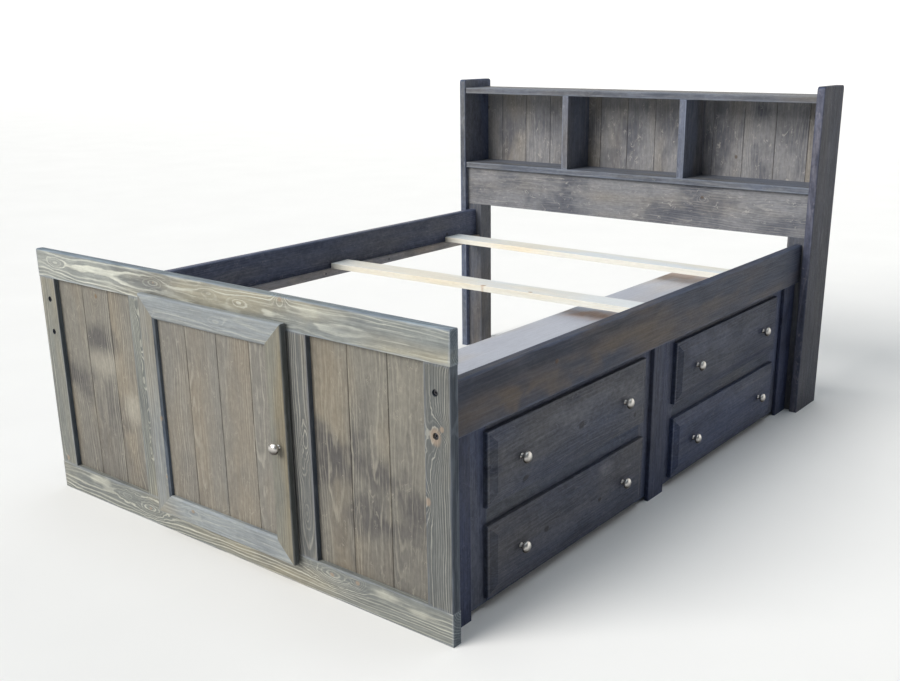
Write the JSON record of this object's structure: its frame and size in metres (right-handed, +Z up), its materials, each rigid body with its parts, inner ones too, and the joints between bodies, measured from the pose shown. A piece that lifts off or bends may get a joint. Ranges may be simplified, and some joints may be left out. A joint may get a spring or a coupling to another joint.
{
  "type": "wooden bed frame",
  "caption": "Full-size captain's bed frame: bookcase headboard, panelled footboard with a door, slatted side rails and a drawer chest on one side.",
  "frame": {"origin": "on the floor, at the middle of the bed's overall length and width", "axes": "+Z up, +Y towards the headboard, +X towards the drawer side"},
  "size_m": [1.526, 2.1825, 1.13],
  "materials": {
    "grey_stained_pine": "weathered grey stain, satin",
    "grey_stained_planks": "weathered grey-brown stain, satin",
    "pale_pine": "unfinished, planed",
    "raw_pine": "unfinished, sanded",
    "pale_plywood": "unfinished, sanded",
    "satin_nickel": "satin nickel plate",
    "dark_steel": "dark zinc",
    "catch_plastic": "matt"
  },
  "bodies": {
    "frame": {"chest_back": "pale_plywood", "chest_bottom_rails": "grey_stained_pine", "chest_end_panels": "grey_stained_pine", "chest_middle_rails": "grey_stained_pine", "chest_partition": "grey_stained_pine", "chest_posts": "grey_stained_pine", "chest_stiles": "grey_stained_pine", "chest_top": "pale_plywood", "chest_top_rails": "grey_stained_pine", "door_catch": "catch_plastic", "drawer_runners": "raw_pine", "footboard_bottom_rail": "grey_stained_pine", "footboard_left_mullion": "grey_stained_pine", "footboard_left_planks": "grey_stained_planks", "footboard_left_stile": "grey_stained_pine", "footboard_right_mullion": "grey_stained_pine", "footboard_right_planks": "grey_stained_planks", "footboard_right_stile": "grey_stained_pine", "footboard_top_rail": "grey_stained_pine", "frame_hinge_leaves": "dark_steel", "headboard_back_planks": "grey_stained_planks", "headboard_bottom_shelf": "grey_stained_pine", "headboard_dividers": "grey_stained_pine", "headboard_header": "grey_stained_pine", "headboard_left_leg": "grey_stained_pine", "headboard_left_side": "grey_stained_pine", "headboard_right_leg": "grey_stained_pine", "headboard_right_side": "grey_stained_pine", "headboard_top_shelf": "grey_stained_pine", "hinge_pins": "dark_steel", "ledger_screws": "dark_steel", "ledger_strips": "grey_stained_pine", "left_side_rail": "grey_stained_pine", "rail_bolts": "dark_steel", "right_side_rail": "grey_stained_pine", "slat_1": "pale_pine", "slat_2": "pale_pine"},
    "door": {"door_bottom_rail": "grey_stained_pine", "door_hinge_leaves": "dark_steel", "door_knob": "satin_nickel", "door_left_stile": "grey_stained_pine", "door_planks": "grey_stained_planks", "door_right_stile": "grey_stained_pine", "door_top_rail": "grey_stained_pine"},
    "drawer_1": {"drawer_1_bottom": "pale_plywood", "drawer_1_box": "raw_pine", "drawer_1_front": "grey_stained_pine", "drawer_1_knobs": "satin_nickel"},
    "drawer_2": {"drawer_2_bottom": "pale_plywood", "drawer_2_box": "raw_pine", "drawer_2_front": "grey_stained_pine", "drawer_2_knobs": "satin_nickel"},
    "drawer_3": {"drawer_3_bottom": "pale_plywood", "drawer_3_box": "raw_pine", "drawer_3_front": "grey_stained_pine", "drawer_3_knobs": "satin_nickel"},
    "drawer_4": {"drawer_4_bottom": "pale_plywood", "drawer_4_box": "raw_pine", "drawer_4_front": "grey_stained_pine", "drawer_4_knobs": "satin_nickel"}
  },
  "joints": [
    {"name": "door_hinge", "type": "hinge", "parent": "frame", "child": "door", "pos_m": [-0.2657, -1.04725, 0.3655], "axis": [0, 0, -1], "range_deg": [0, 105]},
    {"name": "drawer_1_slide", "type": "slide", "parent": "frame", "child": "drawer_1", "axis": [1, 0, 0], "range_m": [0, 0.33]},
    {"name": "drawer_2_slide", "type": "slide", "parent": "frame", "child": "drawer_2", "axis": [1, 0, 0], "range_m": [0, 0.33]},
    {"name": "drawer_3_slide", "type": "slide", "parent": "frame", "child": "drawer_3", "axis": [1, 0, 0], "range_m": [0, 0.33]},
    {"name": "drawer_4_slide", "type": "slide", "parent": "frame", "child": "drawer_4", "axis": [1, 0, 0], "range_m": [0, 0.33]}
  ]
}
